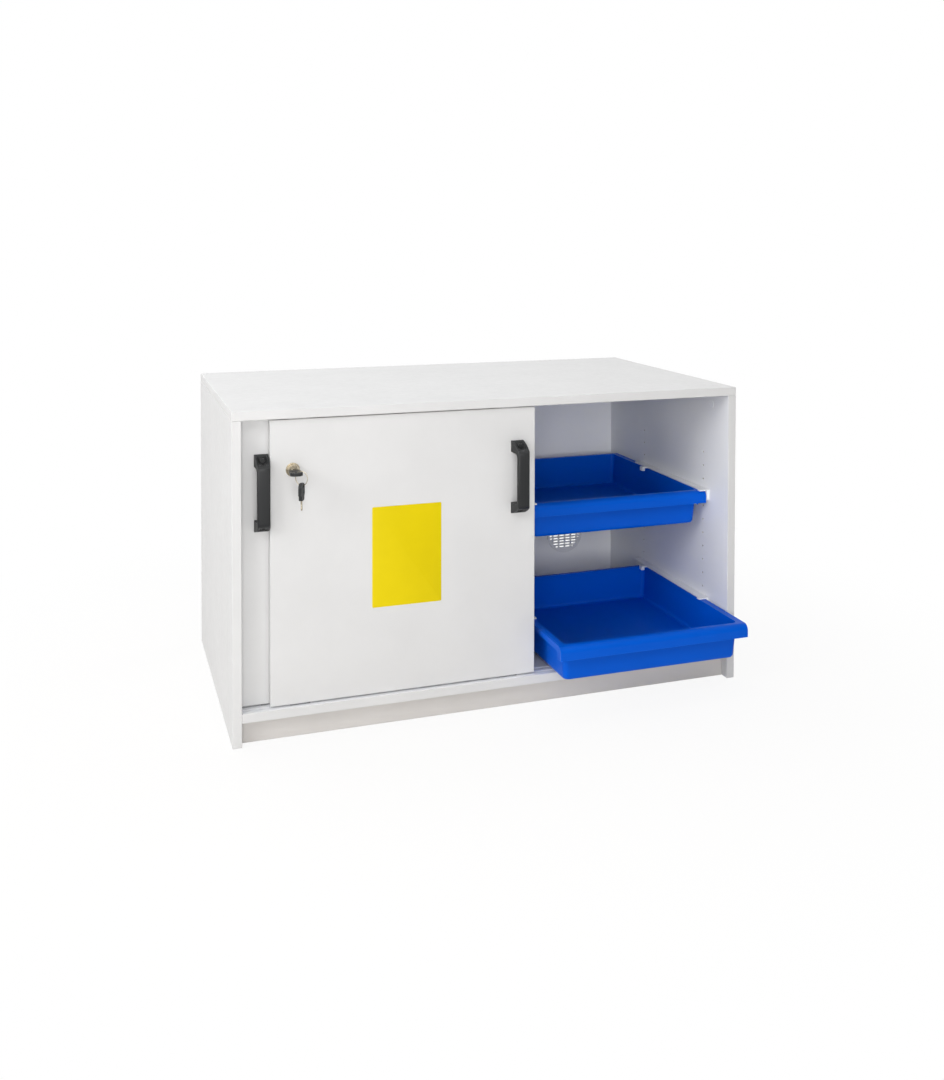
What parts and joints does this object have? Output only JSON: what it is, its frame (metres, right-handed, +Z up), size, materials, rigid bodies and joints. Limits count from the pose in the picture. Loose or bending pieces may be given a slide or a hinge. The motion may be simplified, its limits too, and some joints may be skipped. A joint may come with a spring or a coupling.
{
  "type": "reagent drawer cabinet",
  "caption": "Low melamine cabinet with sliding doors, bow handles and a push lock; blue pull-out trays on plastic runners, and a round vent in the back.",
  "frame": {"origin": "on the floor, at the middle of the carcass, under the plinth's cross rib", "axes": "+X to the right seen from the front, +Y to the back, +Z up"},
  "size_m": [1.13, 0.74, 0.668],
  "materials": {
    "melamine_outside": "satin",
    "melamine_inside": "satin",
    "blue_plastic": "gloss",
    "white_plastic": "matte",
    "dark_plastic": "matte",
    "nickel": "satin",
    "zinc": "satin",
    "beech": "matte"
  },
  "bodies": {
    "carcass": {"top_panel": "melamine_outside", "left_side_panel": "melamine_outside", "right_side_panel": "melamine_outside", "bottom_panel": "melamine_outside", "back_panel": "melamine_inside", "plinth_front": "melamine_outside", "plinth_back": "melamine_outside", "plinth_rib": "melamine_outside", "left_partition": "melamine_inside", "right_partition": "melamine_inside", "top_track": "white_plastic", "bottom_track": "white_plastic", "vent_grille": "white_plastic", "cam_fittings": "zinc", "cam_bolts": "zinc", "cam_covers": "white_plastic", "dowels": "beech", "runner_right_upper_outer": "white_plastic", "runner_right_upper_inner": "white_plastic", "runner_right_lower_outer": "white_plastic", "runner_right_lower_inner": "white_plastic", "runner_left_upper_outer": "white_plastic", "runner_left_upper_inner": "white_plastic", "runner_left_lower_outer": "white_plastic", "runner_left_lower_inner": "white_plastic"},
    "front_door": {"front_door_panel": "melamine_outside", "front_door_shoes": "white_plastic", "front_door_guides": "white_plastic", "front_handle": "dark_plastic", "front_handle_screws": "zinc", "front_handle_caps": "dark_plastic", "lock_sleeve": "nickel", "lock_nut": "zinc"},
    "rear_door": {"rear_door_panel": "melamine_outside", "rear_door_shoes": "white_plastic", "rear_door_guides": "white_plastic", "rear_handle": "dark_plastic", "rear_handle_screws": "zinc", "rear_handle_caps": "dark_plastic", "lock_strike": "zinc"},
    "upper_right_tray": {"tray_right_upper": "blue_plastic"},
    "lower_right_tray": {"tray_right_lower": "blue_plastic"},
    "upper_left_tray": {"tray_left_upper": "blue_plastic"},
    "lower_left_tray": {"tray_left_lower": "blue_plastic"},
    "lock_barrel_body": {"lock_barrel": "nickel"},
    "lock_plug_body": {"lock_plug": "nickel", "key_blade": "nickel", "key_bow": "dark_plastic"},
    "key_ring_body": {"key_ring": "nickel"},
    "spare_key_body": {"spare_key_blade": "nickel", "spare_key_bow": "dark_plastic"}
  },
  "joints": [
    {"name": "front_door_slide", "type": "slide", "parent": "carcass", "child": "front_door", "axis": [1, 0, 0], "range_m": [0, 0.015]},
    {"name": "rear_door_slide", "type": "slide", "parent": "carcass", "child": "rear_door", "axis": [1, 0, 0], "range_m": [0, 0.0009]},
    {"name": "upper_right_tray_slide", "type": "slide", "parent": "carcass", "child": "upper_right_tray", "axis": [0, -1, 0], "range_m": [0, 0.186]},
    {"name": "lower_right_tray_slide", "type": "slide", "parent": "carcass", "child": "lower_right_tray", "axis": [0, -1, 0], "range_m": [-0.186, 0]},
    {"name": "upper_left_tray_slide", "type": "slide", "parent": "carcass", "child": "upper_left_tray", "axis": [0, -1, 0], "range_m": [0, 0.038]},
    {"name": "lower_left_tray_slide", "type": "slide", "parent": "carcass", "child": "lower_left_tray", "axis": [0, -1, 0], "range_m": [0, 0.038]},
    {"name": "lock_push", "type": "slide", "parent": "front_door", "child": "lock_barrel_body", "axis": [0, 1, 0], "range_m": [0, 0.005]},
    {"name": "key_turn", "type": "hinge", "parent": "lock_barrel_body", "child": "lock_plug_body", "pos_m": [-0.4438, -0.326, 0.545], "axis": [0, 1, 0], "range_deg": [-90, 0]},
    {"name": "key_ring_swing", "type": "hinge", "parent": "lock_plug_body", "child": "key_ring_body", "pos_m": [-0.4438, -0.357, 0.545], "axis": [0, 0, 1], "range_deg": [-25, 45]},
    {"name": "spare_key_swing", "type": "hinge", "parent": "key_ring_body", "child": "spare_key_body", "pos_m": [-0.43573, -0.36507, 0.52218], "axis": [0.9063, -0.4226, 0], "range_deg": [-25, 25]}
  ]
}
